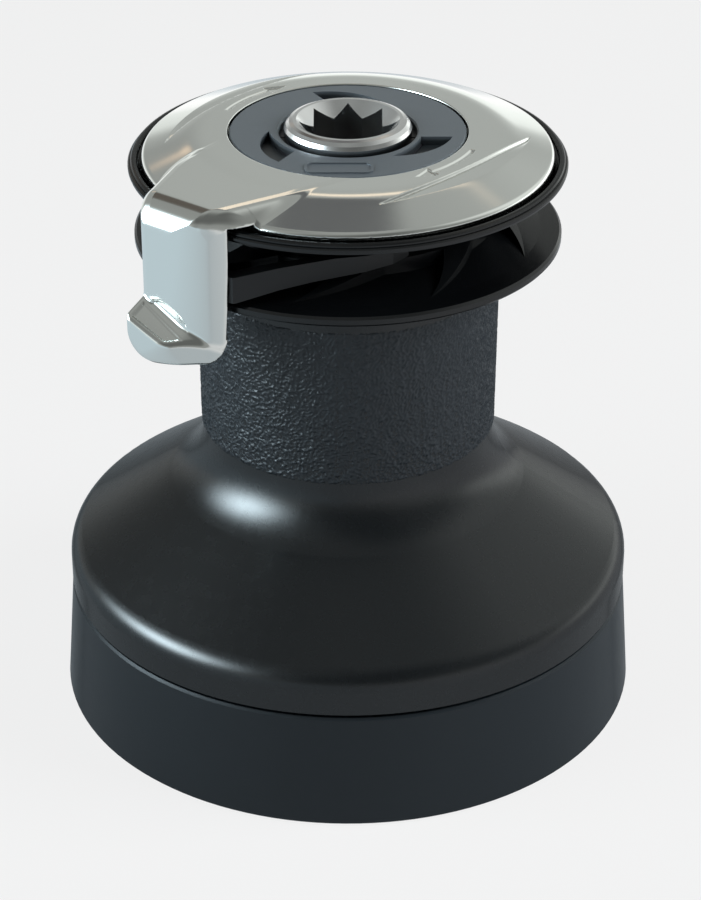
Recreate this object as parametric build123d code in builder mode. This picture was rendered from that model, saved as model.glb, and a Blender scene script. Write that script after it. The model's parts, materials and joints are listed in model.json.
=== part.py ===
from build123d import *
import os
from math import acos, atan2, cos, degrees, pi, radians, sin, tan

os.makedirs("parts", exist_ok=True)

# Two-speed self-tailing winch. Millimetres, +Z up.
# The origin is on the drum axis, in the plane of the deck.

# Outside sizes
deck_r = 78.0
base_top_r = 75.6
base_top_z = 31.4
skirt_r = 75.6
skirt_low_z = 32.0
skirt_corner_z = 42.9
skirt_corner_round = 7.0
skirt_inner_r = 70.6
shoulder_slope = radians(33.9)
shoulder_wall = 6.0
neck_r = 38.7
neck_round = 19.6
neck_top_z = 125.0
crown_lower_r = 54.8
crown_upper_r = 55.8
plate_r = 52.4
cap_r = 30.0
cap_top_z = 159.4
height = 162.3

# Handle socket: an eight-point star made of two squares
star_side = 17.46
star_depth = 22.0

# Deck screws
mount_pcd = 124.0
mount_count = 5
mount_first = 54.0
mount_hole_r = 3.25
mount_sink_r = 6.6

# Gears
module = 1.75
pressure = radians(25)
addendum = 0.8 * module
dedendum = 1.0 * module
backlash = 0.2
ring_teeth = 60
ratchet_teeth = 30
idler_teeth = 11
drive_teeth = 22
low_teeth = 26
pinion_teeth = 12
ring_outer_r = 57.0
ring_low_z, ring_high_z = 35.0, 45.0
upper_low_z, upper_high_z = 35.2, 44.6
lower_low_z, lower_high_z = 9.0, 19.0
pin_r = 4.0
pin_play = 0.05
pin_low_z = 1.5
idler_b_at = 300.0
low_at = 90.0

# Ratchets and pawls
ratchet_count = 12
ratchet_step = 360 / ratchet_count
tooth_lean = 7.0
drive_crest_r, drive_root_r = 17.0, 19.5
low_crest_r, low_root_r = 14.2, 16.6
drive_pivot_r, drive_heel_r = 12.8, 2.2
low_pivot_r, low_heel_r = 9.6, 1.9
drive_pawl_at = 20.0
low_pawl_at = 0.0
pocket_play = 0.08
wire_r = 0.4

# Centre stem and bearings
stem_plate_r = 49.0
stem_plate_low_z, stem_plate_high_z = 47.0, 52.0
column_r = 25.5
column_bore_r = 21.5
column_top_z = 149.2
key_top_z = 152.5
tube_top_z = 156.2
pillar_angles = (20.0, 160.0, 220.0)
pillar_inner_r, pillar_outer_r = 30.0, 48.0
pillar_half = 16.0
pillar_screw_r = 39.0
pad_r, pad_top_z = 11.0, 10.0
floor_z = 6.0
roller_r = 2.2
roller_pitch_r = 27.75
roller_count = 14
roller_length = 11.0
cage_inner_r, cage_outer_r = 26.6, 28.9
bearing_height = 14.0
lower_bearing_z, upper_bearing_z = 60.0, 106.0
drum_bore_r = 30.0

# Crowns
hub_inner_r, hub_outer_r = 26.5, 36.5
hub_low_z, hub_high_z = 128.5, 145.0
crown_screw_r, crown_screw_count = 33.8, 6
crown_screw_shank_r = 2.0
land_count = 9
land_depth = 0.9
jaw_spring_count = 6
jaw_spring_at_r = 40.5


def polar(radius, angle):
    """Point at a radius and an angle in degrees."""
    return (radius * cos(radians(angle)), radius * sin(radians(angle)))


def outline(points):
    """Flat face in the radius and height plane, from its corners."""
    with BuildSketch(Plane.XZ) as shape:
        with BuildLine():
            Polyline(*points, close=True)
        make_face()
    return shape.sketch


def plan(points, level=0.0):
    """Flat level face from its corners."""
    with BuildSketch(Plane.XY.offset(level)) as shape:
        with BuildLine():
            Polyline(*points, close=True)
        make_face()
    return shape.sketch


def disc(radius, low, high, at=(0.0, 0.0), mode=Mode.ADD):
    """Upright cylinder between two heights."""
    with Locations((at[0], at[1], low)):
        Cylinder(radius, high - low, align=(Align.CENTER, Align.CENTER, Align.MIN), mode=mode)


def involute(angle):
    return tan(angle) - angle


def gear_face(teeth, turn, tip_r, root_r, thinner, at=(0.0, 0.0), level=0.0):
    """Level face of an involute gear. One tooth is centred on the angle turn."""
    pitch_r = module * teeth / 2
    base_r = pitch_r * cos(pressure)
    low_r = max(root_r, base_r)
    half_at_pitch = pi / (2 * teeth) - thinner / (2 * pitch_r) + involute(pressure)
    flank = []
    for share in (0.0, 0.35, 0.7, 1.0):
        radius = low_r + (tip_r - low_r) * share
        half = half_at_pitch - involute(acos(min(1.0, base_r / radius)))
        flank.append((radius, degrees(half)))
    step = 360 / teeth
    edges = []
    for tooth in range(teeth):
        middle = turn + tooth * step
        rising = [polar(radius, middle - half) for radius, half in flank]
        falling = [polar(radius, middle + half) for radius, half in reversed(flank)]
        foot_half = flank[0][1]
        root_start = polar(root_r, middle + foot_half)
        root_end = polar(root_r, middle + step - foot_half)
        edges.append(Spline(*rising))
        edges.append(ThreePointArc(rising[-1], polar(tip_r, middle), falling[0]))
        edges.append(Spline(*falling))
        if root_r < low_r:
            edges.append(Line(falling[-1], root_start))
        edges.append(ThreePointArc(root_start, polar(root_r, middle + step / 2), root_end))
        if root_r < low_r:
            edges.append(Line(root_end, polar(low_r, middle + step - foot_half)))
    return Pos(at[0], at[1], level) * Face(Wire(edges))


def spur(teeth, turn, at=(0.0, 0.0), level=0.0):
    """Gear face with outside teeth."""
    pitch_r = module * teeth / 2
    return gear_face(teeth, turn, pitch_r + addendum, pitch_r - dedendum, backlash / 2, at, level)


def turn_outside(own_turn, own_teeth, other_teeth, towards):
    """Turn of a gear that meshes with the outside of another, towards an angle."""
    lag = (towards - own_turn) % (360 / own_teeth)
    return towards + 180 + lag * own_teeth / other_teeth + 180 / other_teeth


def turn_inside(own_turn, own_teeth, other_teeth, towards):
    """Turn of a gear that meshes inside a ring gear, towards an angle."""
    lag = (towards - own_turn) % (360 / own_teeth)
    return towards - lag * own_teeth / other_teeth + 180 / other_teeth


def ratchet_corners(crest_r, root_r, first, way):
    """Corners of a ring of inside ratchet teeth. The steep side faces against way."""
    corners = []
    for tooth in range(ratchet_count):
        angle = first + way * tooth * ratchet_step
        corners.append(polar(root_r, angle))
        corners.append(polar(crest_r, angle + way * (ratchet_step - tooth_lean)))
    return corners


def moved(points, at, angle):
    """Points turned about the origin by an angle, then shifted."""
    turn = radians(angle)
    return [(at[0] + x * cos(turn) - y * sin(turn), at[1] + x * sin(turn) + y * cos(turn)) for x, y in points]


def pawl(shape, pivot_r, heel_r, at, angle, low, high):
    """Pawl with a round heel, cut around for its wire spring."""
    pivot = moved([(pivot_r, 0.0)], at, angle)[0]
    groove_low = (low + high) / 2 - 1.5 * wire_r
    extrude(plan(moved(shape, at, angle), low), amount=high - low)
    disc(heel_r, low, high, pivot)
    with Locations((pivot[0], pivot[1], groove_low)):
        Cylinder(
            heel_r + 3 * wire_r,
            3 * wire_r,
            align=(Align.CENTER, Align.CENTER, Align.MIN),
            mode=Mode.SUBTRACT,
        )
    disc(heel_r - 2.5 * wire_r, low, high, pivot)


def wire_spring(pivot_r, heel_r, at, angle, level):
    """Open wire loop around the heel of a pawl."""
    pivot = moved([(pivot_r, 0.0)], at, angle)[0]
    loop_r = heel_r - 1.25 * wire_r
    start = Plane(
        origin=(pivot[0] + loop_r, pivot[1], level), x_dir=(1, 0, 0), z_dir=(0, 1, 0)
    )
    loop_axis = Axis((pivot[0], pivot[1], level), (0, 0, 1))
    with BuildSketch(start) as section:
        Circle(wire_r)
    revolve(section.sketch, axis=loop_axis, revolution_arc=300)


# Where the gears sit and how they are turned
ring_pitch_r = module * ring_teeth / 2
low_d = module * (drive_teeth + low_teeth) / 2
idler_a_d = module * (ratchet_teeth + idler_teeth) / 2
idler_b_d = module * (ring_teeth - idler_teeth) / 2
idler_gap = module * idler_teeth
idler_spread = degrees(
    acos((idler_a_d**2 + idler_b_d**2 - idler_gap**2) / (2 * idler_a_d * idler_b_d))
)
idler_a_at = idler_b_at - idler_spread
idler_a = polar(idler_a_d, idler_a_at)
idler_b = polar(idler_b_d, idler_b_at)
low_centre = polar(low_d, low_at)
b_to_a_at = degrees(atan2(idler_a[1] - idler_b[1], idler_a[0] - idler_b[0]))
idler_b_turn = turn_inside(0.0, ring_teeth, idler_teeth, idler_b_at)
idler_a_turn = turn_outside(idler_b_turn, idler_teeth, idler_teeth, b_to_a_at)
ratchet_turn = turn_outside(idler_a_turn, idler_teeth, ratchet_teeth, idler_a_at + 180)
pinion_turn = turn_inside(0.0, ring_teeth, pinion_teeth, low_at)
low_turn = turn_outside(0.0, drive_teeth, low_teeth, low_at)

ring_hole = gear_face(
    ring_teeth,
    180 / ring_teeth,
    ring_pitch_r + dedendum,
    ring_pitch_r - addendum,
    -backlash / 2,
    level=ring_low_z,
)
drive_face = spur(drive_teeth, 0.0, level=lower_low_z)
ratchet_face = spur(ratchet_teeth, ratchet_turn, level=ring_low_z)
idler_a_face = spur(idler_teeth, idler_a_turn, idler_a, upper_low_z)
idler_b_face = spur(idler_teeth, idler_b_turn, idler_b, upper_low_z)
low_face = spur(low_teeth, low_turn, low_centre, lower_low_z)
pinion_face = spur(pinion_teeth, pinion_turn, low_centre, upper_low_z)

# Base housing: drafted cup, floor, bosses, lip inside the drum skirt
edge_break = 0.6
boss_top_z = 34.7
bush_outer_r = 11.0
bush_low_z = 2.0
low_boss_r, low_boss_top_z = 20.0, 8.8
pin_boss_r = 8.0
screw_head_r, screw_head_z = 6.5, 6.0
with BuildPart() as base_housing:
    revolve(
        outline(
            [
                (0.0, 0.0),
                (deck_r - edge_break, 0.0),
                (deck_r, edge_break),
                (base_top_r, base_top_z - edge_break),
                (base_top_r - edge_break, base_top_z),
                (69.8, base_top_z),
                (69.8, 35.0),
                (66.8, 35.0),
                (66.8, 27.0),
                (71.8, 22.0),
                (73.4, floor_z),
                (14.0, floor_z),
                (14.0, 8.6),
                (bush_outer_r, 8.6),
                (bush_outer_r, bush_low_z),
                (0.0, bush_low_z),
            ]
        ),
        axis=Axis.Z,
    )
    for angle in pillar_angles:
        disc(pad_r, floor_z, pad_top_z, polar(pillar_screw_r, angle))
    for centre in (idler_a, idler_b):
        disc(pin_boss_r, floor_z, boss_top_z, centre)
    disc(low_boss_r, floor_z, low_boss_top_z, low_centre)
    for centre in (idler_a, idler_b, low_centre):
        disc(pin_r, pin_low_z, boss_top_z, centre, Mode.SUBTRACT)
    for angle in pillar_angles:
        disc(screw_head_r + 0.3, 0.0, screw_head_z, polar(pillar_screw_r, angle), Mode.SUBTRACT)
        disc(pin_r + 0.3, 0.0, pad_top_z, polar(pillar_screw_r, angle), Mode.SUBTRACT)
    with Locations((0.0, 0.0, floor_z)):
        with PolarLocations(mount_pcd / 2, mount_count, start_angle=mount_first):
            CounterSinkHole(mount_hole_r, mount_sink_r, depth=floor_z)

with BuildPart() as base_bush:
    revolve(
        outline(
            [
                (8.03, bush_low_z),
                (bush_outer_r, bush_low_z),
                (bush_outer_r, 8.6),
                (13.5, 8.6),
                (13.5, 8.9),
                (8.03, 8.9),
            ]
        ),
        axis=Axis.Z,
    )

# Centre stem: plate on three pillars, bearing column, keyed seat, cap thread
stem_top_bore_r = 17.0
stem_top_bore_z = 132.0
thrust_r = 33.0
clip_groove_r = 24.6
clip_low_z, clip_high_z = 120.3, 121.8
feeder_at = 226.5
key_width = 4.0
pillar_corners = []
for offset in (-pillar_half, 0.0, pillar_half):
    pillar_corners.append((pillar_inner_r, offset))
for offset in (pillar_half, 0.0, -pillar_half):
    pillar_corners.append((pillar_outer_r, offset))
with BuildPart() as centre_stem:
    revolve(
        outline(
            [
                (column_bore_r, stem_plate_low_z),
                (stem_plate_r, stem_plate_low_z),
                (stem_plate_r, stem_plate_high_z),
                (thrust_r, stem_plate_high_z),
                (thrust_r, 54.0),
                (column_r, 54.0),
                (column_r, clip_low_z),
                (clip_groove_r, clip_low_z),
                (clip_groove_r, clip_high_z),
                (column_r, clip_high_z),
                (column_r, column_top_z),
                (24.0, column_top_z),
                (24.0, key_top_z),
                (20.5, key_top_z),
                (20.5, tube_top_z),
                (stem_top_bore_r, tube_top_z),
                (stem_top_bore_r, stem_top_bore_z),
                (column_bore_r, stem_top_bore_z - 4.0),
            ]
        ),
        axis=Axis.Z,
    )
    with Locations(Pos(0, 0, column_top_z) * Rot(0, 0, feeder_at - 180) * Pos(24.5, 0, 0)):
        Box(
            3.0,
            key_width,
            key_top_z - column_top_z,
            align=(Align.CENTER, Align.CENTER, Align.MIN),
        )
    for angle in pillar_angles:
        corners = [polar(radius, angle + offset) for radius, offset in pillar_corners]
        extrude(plan(corners, pad_top_z), amount=stem_plate_low_z - pad_top_z)
    for centre in (idler_a, idler_b, low_centre):
        disc(pin_r, stem_plate_low_z, stem_plate_high_z, centre, Mode.SUBTRACT)
    for angle in pillar_angles:
        disc(pin_r, pad_top_z, 28.0, polar(pillar_screw_r, angle), Mode.SUBTRACT)

# Hex socket screws up through the base into the pillars
with BuildPart() as stem_screws:
    for angle in pillar_angles:
        centre = polar(pillar_screw_r, angle)
        disc(screw_head_r, 0.8, screw_head_z, centre)
        disc(pin_r, screw_head_z, 26.0, centre)
        with BuildSketch(Plane.XY.offset(0.8)) as key_hole:
            with Locations(centre):
                RegularPolygon(3.5, 6)
        extrude(amount=3.0, mode=Mode.SUBTRACT)

with BuildPart() as idler_a_pin:
    disc(pin_r, pin_low_z, stem_plate_high_z, idler_a)

with BuildPart() as idler_b_pin:
    disc(pin_r, pin_low_z, stem_plate_high_z, idler_b)

with BuildPart() as low_pin:
    disc(pin_r, pin_low_z, stem_plate_high_z, low_centre)

# Drum: skirt, sloping shoulder, neck, spring seat, seat of the ring gear
shoulder_rise = tan(shoulder_slope)
neck_corner_z = skirt_corner_z + (skirt_r - neck_r) * shoulder_rise


def under_shoulder(radius):
    """Height of the inside face of the shoulder."""
    return skirt_corner_z + (skirt_r - radius) * shoulder_rise - shoulder_wall


hub_face_z = 55.6
rib_outer_r = 61.5
ledge_r = 53.5
ceiling_r = skirt_r - (hub_face_z + shoulder_wall - skirt_corner_z) / shoulder_rise
clip_seat_r = 58.6
with BuildPart() as drum:
    with BuildSketch(Plane.XZ) as drum_half:
        with BuildLine():
            Polyline(
                (drum_bore_r, hub_face_z),
                (ceiling_r, hub_face_z),
                (ledge_r, under_shoulder(ledge_r)),
                (ledge_r, ring_high_z),
                (ring_outer_r, ring_high_z),
                (ring_outer_r, ring_low_z),
                (clip_seat_r, ring_low_z),
                (clip_seat_r, 33.4),
                (ring_outer_r, 33.4),
                (ring_outer_r, 32.5),
                (rib_outer_r, 32.5),
                (rib_outer_r, under_shoulder(rib_outer_r)),
                (skirt_inner_r, under_shoulder(skirt_inner_r)),
                (skirt_inner_r, skirt_low_z),
                (skirt_r - edge_break, skirt_low_z),
                (skirt_r, skirt_low_z + edge_break),
                (skirt_r, skirt_corner_z),
                (neck_r, neck_corner_z),
                (neck_r + 0.3, neck_top_z),
                (42.5, 126.5),
                (42.5, hub_low_z),
                (drum_bore_r, hub_low_z),
                (drum_bore_r, upper_bearing_z - 2.0),
                (drum_bore_r + 2.0, upper_bearing_z - 4.0),
                (drum_bore_r + 2.0, lower_bearing_z + bearing_height + 4.0),
                (drum_bore_r, lower_bearing_z + bearing_height + 2.0),
                close=True,
            )
        make_face()
        corner = drum_half.vertices().sort_by_distance((skirt_r, skirt_corner_z, 0))[0]
        fillet(corner, skirt_corner_round)
        corner = drum_half.vertices().sort_by_distance((neck_r, neck_corner_z, 0))[0]
        fillet(corner, neck_round)
    revolve(axis=Axis.Z)
    with PolarLocations(crown_screw_r, crown_screw_count):
        with Locations((0.0, 0.0, 114.0)):
            Cylinder(
                crown_screw_shank_r,
                hub_low_z - 114.0,
                align=(Align.CENTER, Align.CENTER, Align.MIN),
                mode=Mode.SUBTRACT,
            )

with BuildPart() as ring_gear:
    disc(ring_outer_r, ring_low_z, ring_high_z)
    extrude(ring_hole, amount=ring_high_z - ring_low_z, mode=Mode.SUBTRACT)

# Snap ring with a gap
with BuildPart() as ring_gear_clip:
    disc(clip_seat_r, 33.5, ring_low_z)
    disc(55.2, 33.5, ring_low_z, mode=Mode.SUBTRACT)
    with Locations((57.0, 0.0, 34.25)):
        Box(8.0, 5.0, 3.0, mode=Mode.SUBTRACT)

with BuildPart() as thrust_washer:
    disc(thrust_r, 54.0, 55.5)
    disc(column_r + 0.2, 54.0, 55.5, mode=Mode.SUBTRACT)


def bearing_cage(low):
    """Cage with a window for each roller."""
    disc(cage_outer_r, low + 0.5, low + bearing_height - 0.5)
    disc(cage_inner_r, low + 0.5, low + bearing_height - 0.5, mode=Mode.SUBTRACT)
    with Locations((0.0, 0.0, low + bearing_height / 2)):
        with PolarLocations(roller_pitch_r, roller_count):
            Box(6.0, 2 * roller_r + 0.3, roller_length + 0.4, mode=Mode.SUBTRACT)


def bearing_rollers(low):
    with Locations((0.0, 0.0, low + bearing_height / 2)):
        with PolarLocations(roller_pitch_r, roller_count):
            Cylinder(roller_r, roller_length)


with BuildPart() as lower_bearing_cage:
    bearing_cage(lower_bearing_z)

with BuildPart() as lower_bearing_rollers:
    bearing_rollers(lower_bearing_z)

with BuildPart() as upper_bearing_cage:
    bearing_cage(upper_bearing_z)

with BuildPart() as upper_bearing_rollers:
    bearing_rollers(upper_bearing_z)

spacer_low_z = lower_bearing_z + bearing_height + 0.3
spacer_high_z = upper_bearing_z - 0.3
with BuildPart() as bearing_spacer:
    disc(27.2, spacer_low_z, spacer_high_z)
    disc(column_r + 0.1, spacer_low_z, spacer_high_z, mode=Mode.SUBTRACT)

with BuildPart() as bearing_clip:
    disc(28.6, clip_low_z, clip_high_z)
    disc(clip_groove_r, clip_low_z, clip_high_z, mode=Mode.SUBTRACT)
    with Locations((clip_groove_r + 2.0, 0.0, (clip_low_z + clip_high_z) / 2)):
        Box(6.0, 4.0, 3.0, mode=Mode.SUBTRACT)

# Keyed sleeve that carries the crowns
slide_key_angles = (37.6, 157.6, 277.6)
slide_key_width = 5.0
slide_key_r = 38.0
slide_key_top_z = 134.8
with BuildPart() as crown_hub:
    disc(hub_outer_r, hub_low_z, hub_high_z)
    for angle in slide_key_angles:
        with Locations(Pos(0, 0, hub_low_z) * Rot(0, 0, angle)):
            Box(
                slide_key_r,
                slide_key_width,
                slide_key_top_z - hub_low_z,
                align=(Align.MIN, Align.CENTER, Align.MIN),
            )
    disc(hub_inner_r, hub_low_z, hub_high_z, mode=Mode.SUBTRACT)
    with Locations((0.0, 0.0, hub_low_z)):
        with PolarLocations(crown_screw_r, crown_screw_count):
            Cylinder(
                crown_screw_shank_r + 0.1,
                hub_high_z - hub_low_z,
                align=(Align.CENTER, Align.CENTER, Align.MIN),
                mode=Mode.SUBTRACT,
            )

# Lower crown: disc with raised lands that slides on the hub
lower_rim_z = 133.7
lower_flat_z = 134.2
lower_valley_z = 136.9
land_apex_r = 49.3
land_inner_r = 37.5
land_slope = 0.6
collar_r = 38.4
collar_top_z = lower_flat_z + land_slope * (land_apex_r - collar_r)


def land_plan(at):
    """Raised land of a crown in plan: two swept sides that meet at the rim."""
    apex = polar(land_apex_r, at)
    lead, trail = polar(land_inner_r, at + 33.0), polar(land_inner_r, at + 15.0)
    with BuildSketch() as land:
        with BuildLine():
            ThreePointArc(apex, polar(44.5, at + 12.3), lead)
            Line(lead, trail)
            ThreePointArc(trail, polar(45.0, at + 6.6), apex)
        make_face()
    return land.sketch


def crown_lands(low, high, first):
    """All the lands of one crown as upright blocks."""
    for number in range(land_count):
        land = land_plan(first + number * 360 / land_count)
        extrude(Pos(0, 0, low) * land, amount=high - low)


with BuildPart() as lower_crown:
    crown_lands(133.9, 142.0, 13.6)
    revolve(
        outline(
            [
                (30.0, 132.0),
                (land_apex_r + 0.3, 132.0),
                (land_apex_r + 0.3, lower_flat_z - 0.3 * land_slope),
                (collar_r, collar_top_z),
                (30.0, collar_top_z),
            ]
        ),
        axis=Axis.Z,
        mode=Mode.INTERSECT,
    )
    revolve(
        outline(
            [
                (hub_outer_r + 0.3, 131.8),
                (39.0, 131.8),
                (39.0, 134.0),
                (42.2, 134.0),
                (42.2, 132.3),
                (43.4, 131.3),
                (crown_lower_r - 0.4, 131.3),
                (crown_lower_r, 131.8),
                (crown_lower_r, 133.1),
                (54.2, lower_rim_z),
                (land_apex_r, lower_flat_z),
                (collar_r, lower_valley_z),
                (collar_r, collar_top_z),
                (hub_outer_r + 0.3, collar_top_z),
            ]
        ),
        axis=Axis.Z,
    )
    for angle in slide_key_angles:
        with Locations(Pos(0, 0, 131.0) * Rot(0, 0, angle)):
            Box(
                slide_key_r + 0.4,
                slide_key_width + 0.6,
                7.0,
                align=(Align.MIN, Align.CENTER, Align.MIN),
                mode=Mode.SUBTRACT,
            )

# Upper crown: disc with a rolled rim, screwed to the hub
crown_floor_z = 148.7
crown_flat_r = 38.0
crown_floor_edge_z = 151.8
crown_edge_z = 150.5
with BuildPart() as upper_crown:
    crown_lands(hub_high_z - land_depth, 151.0, 33.6)
    revolve(
        outline(
            [
                (30.0, crown_floor_z - land_depth),
                (30.0, hub_high_z - land_depth),
                (hub_outer_r, hub_high_z - land_depth),
                (55.0, crown_edge_z - land_depth),
                (55.0, crown_floor_edge_z - land_depth),
                (crown_flat_r, crown_floor_z - land_depth),
            ]
        ),
        axis=Axis.Z,
        mode=Mode.INTERSECT,
    )
    revolve(
        outline(
            [
                (hub_inner_r, hub_high_z),
                (hub_outer_r, hub_high_z),
                (55.0, crown_edge_z),
                (crown_upper_r - 0.2, 150.8),
                (crown_upper_r, 151.3),
                (crown_upper_r, 151.9),
                (crown_upper_r - 0.3, 152.2),
                (55.1, 152.3),
                (55.1, 152.7),
                (54.8, 153.05),
                (54.3, 153.2),
                (53.6, 153.05),
                (53.3, 152.7),
                (53.3, 152.0),
                (52.8, crown_floor_edge_z),
                (crown_flat_r, crown_floor_z),
                (hub_inner_r, crown_floor_z),
            ]
        ),
        axis=Axis.Z,
    )
    with Locations((0.0, 0.0, crown_floor_z)):
        with PolarLocations(crown_screw_r, crown_screw_count):
            CounterSinkHole(crown_screw_shank_r + 0.1, 3.9, depth=5.0)

with BuildPart() as crown_screws:
    with PolarLocations(crown_screw_r, crown_screw_count):
        with Locations((0.0, 0.0, 116.0)):
            Cylinder(
                crown_screw_shank_r,
                crown_floor_z - 0.3 - 116.0,
                align=(Align.CENTER, Align.CENTER, Align.MIN),
            )
        with Locations((0.0, 0.0, crown_floor_z - 1.85)):
            Cone(
                crown_screw_shank_r,
                3.5,
                1.55,
                align=(Align.CENTER, Align.CENTER, Align.MIN),
            )
        with Locations((0.0, 0.0, crown_floor_z - 1.5)):
            Cylinder(
                1.2,
                2.0,
                align=(Align.CENTER, Align.CENTER, Align.MIN),
                mode=Mode.SUBTRACT,
            )

# Jaw springs push the lower crown up
jaw_wire_r = 0.25
jaw_coil_r = 1.25
jaw_turns = 4
jaw_spring_play = 0.05
jaw_spring_height = 134.0 - hub_low_z - 2 * (jaw_wire_r + jaw_spring_play)
with BuildPart() as one_spring:
    with BuildLine():
        coil = Helix(jaw_spring_height / jaw_turns, jaw_spring_height, jaw_coil_r)
    with BuildSketch(Plane(origin=coil @ 0, z_dir=coil % 0)):
        Circle(jaw_wire_r)
    sweep()
with BuildPart() as jaw_springs:
    with Locations((0.0, 0.0, hub_low_z + jaw_wire_r + jaw_spring_play)):
        with PolarLocations(jaw_spring_at_r, jaw_spring_count):
            add(one_spring.part)

# Drive gear with the pawl carrier of the first speed
drive_pocket = [(10.2, 0.0), (10.2, -11.6), (17.5, -11.6), (17.5, -4.0), (14.9, 0.9)]
hex_r = 16.0 / 2 / cos(radians(30))
with BuildPart() as drive_gear:
    extrude(drive_face, amount=lower_high_z - lower_low_z)
    disc(14.0, lower_high_z, 33.0)
    disc(22.0, 33.0, 34.8)
    disc(16.3, 34.8, 43.0)
    for angle in (drive_pawl_at, drive_pawl_at + 180):
        pivot = polar(drive_pivot_r, angle)
        disc(drive_heel_r + pocket_play, 35.3, 43.0, pivot, Mode.SUBTRACT)
        extrude(
            plan(moved(drive_pocket, (0, 0), angle), 35.3), amount=7.7, mode=Mode.SUBTRACT
        )
    disc(15.1, 43.0, 46.0)
    with BuildSketch(Plane.XY.offset(lower_low_z)):
        RegularPolygon(hex_r, 6)
    extrude(amount=46.0 - lower_low_z, mode=Mode.SUBTRACT)

# Main spindle: star socket head, bearing body, hexagon drive end
head_r = 16.2
body_r = 14.5
spindle_groove_r = 13.6
with BuildPart() as main_spindle:
    revolve(
        outline(
            [
                (0.0, 2.3),
                (7.5, 2.3),
                (8.0, 2.8),
                (8.0, lower_low_z),
                (6.0, lower_low_z),
                (6.0, 46.0),
                (10.5, 46.0),
                (10.5, 130.0),
                (body_r, 136.0),
                (body_r, 153.4),
                (spindle_groove_r, 153.5),
                (spindle_groove_r, 157.3),
                (head_r, 157.5),
                (head_r, 160.2),
                (15.7, 161.2),
                (14.9, 162.0),
                (14.0, height),
                (0.0, height),
            ]
        ),
        axis=Axis.Z,
    )
    with BuildSketch(Plane.XY.offset(lower_low_z)):
        RegularPolygon(hex_r, 6)
    extrude(amount=46.0 - lower_low_z)
    with BuildSketch(Plane.XY.offset(height)):
        Rectangle(star_side, star_side)
        Rectangle(star_side, star_side, rotation=45)
    extrude(amount=-star_depth, mode=Mode.SUBTRACT)
    with Locations((0.0, 0.0, height)):
        Cone(
            9.0,
            13.1,
            4.0,
            align=(Align.CENTER, Align.CENTER, Align.MAX),
            mode=Mode.SUBTRACT,
        )

drive_pawl_shape = [
    (drive_pivot_r + 2.0, -0.9),
    polar(18.9, -33.0),
    polar(17.2, -33.0),
    (drive_pivot_r - 2.0, -0.9),
]
with BuildPart() as drive_pawl_a:
    pawl(drive_pawl_shape, drive_pivot_r, drive_heel_r, (0, 0), drive_pawl_at, 35.6, 42.7)

with BuildPart() as drive_pawl_b:
    pawl(drive_pawl_shape, drive_pivot_r, drive_heel_r, (0, 0), drive_pawl_at + 180, 35.6, 42.7)

with BuildPart() as drive_pawl_springs:
    for angle in (drive_pawl_at, drive_pawl_at + 180):
        wire_spring(drive_pivot_r, drive_heel_r, (0, 0), angle, 39.15)

# Ratchet gear: outside teeth, inside ratchet, web that runs on the drive gear
web_z = 43.2
with BuildPart() as ratchet_gear:
    extrude(ratchet_face, amount=ring_high_z - ring_low_z)
    ratchet_points = ratchet_corners(drive_crest_r, drive_root_r, drive_pawl_at - 34.0, 1)
    extrude(plan(ratchet_points, ring_low_z), amount=web_z - ring_low_z, mode=Mode.SUBTRACT)
    disc(15.2, web_z, ring_high_z, mode=Mode.SUBTRACT)

with BuildPart() as idler_a_gear:
    extrude(idler_a_face, amount=upper_high_z - upper_low_z)
    disc(6.0, upper_high_z, 46.6, idler_a)
    disc(pin_r + pin_play, upper_low_z, 46.6, idler_a, Mode.SUBTRACT)

with BuildPart() as idler_b_gear:
    extrude(idler_b_face, amount=upper_high_z - upper_low_z)
    disc(6.0, upper_high_z, 46.6, idler_b)
    disc(pin_r + pin_play, upper_low_z, 46.6, idler_b, Mode.SUBTRACT)

# Second speed: low gear with an inside ratchet over the pinion's pawl carrier
low_web_z = 16.0
pinion_shaft_r = 8.0
carrier_r = 13.0
low_hex_r = 12.0 / 2 / cos(radians(30))
with BuildPart() as low_gear:
    extrude(low_face, amount=lower_high_z - lower_low_z)
    low_points = moved(ratchet_corners(low_crest_r, low_root_r, 12.0, -1), low_centre, 0.0)
    extrude(plan(low_points, lower_low_z), amount=low_web_z - lower_low_z, mode=Mode.SUBTRACT)
    disc(pinion_shaft_r + pin_play, low_web_z, lower_high_z, low_centre, Mode.SUBTRACT)

with BuildPart() as low_pinion:
    extrude(pinion_face, amount=upper_high_z - upper_low_z)
    disc(6.0, upper_high_z, 46.6, low_centre)
    disc(pinion_shaft_r, low_web_z, upper_low_z, low_centre)
    with BuildSketch(Plane.XY.offset(9.2)):
        with Locations(low_centre):
            RegularPolygon(low_hex_r, 6, rotation=30)
    extrude(amount=low_web_z - 9.2)
    disc(pin_r + pin_play, 9.2, 46.6, low_centre, Mode.SUBTRACT)

low_pocket = [(7.4, 0.0), (11.4, -0.6), (14.0, 3.0), (14.0, 9.6), (7.4, 9.6)]
with BuildPart() as low_carrier:
    disc(carrier_r, 9.2, 15.8, low_centre)
    with BuildSketch(Plane.XY.offset(9.2)):
        with Locations(low_centre):
            RegularPolygon(low_hex_r, 6, rotation=30)
    extrude(amount=6.6, mode=Mode.SUBTRACT)
    for angle in (low_pawl_at, low_pawl_at + 180):
        pivot = moved([(low_pivot_r, 0.0)], low_centre, angle)[0]
        disc(low_heel_r + pocket_play, 9.2, 15.8, pivot, Mode.SUBTRACT)
        extrude(
            plan(moved(low_pocket, low_centre, angle), 9.2), amount=6.6, mode=Mode.SUBTRACT
        )

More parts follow.
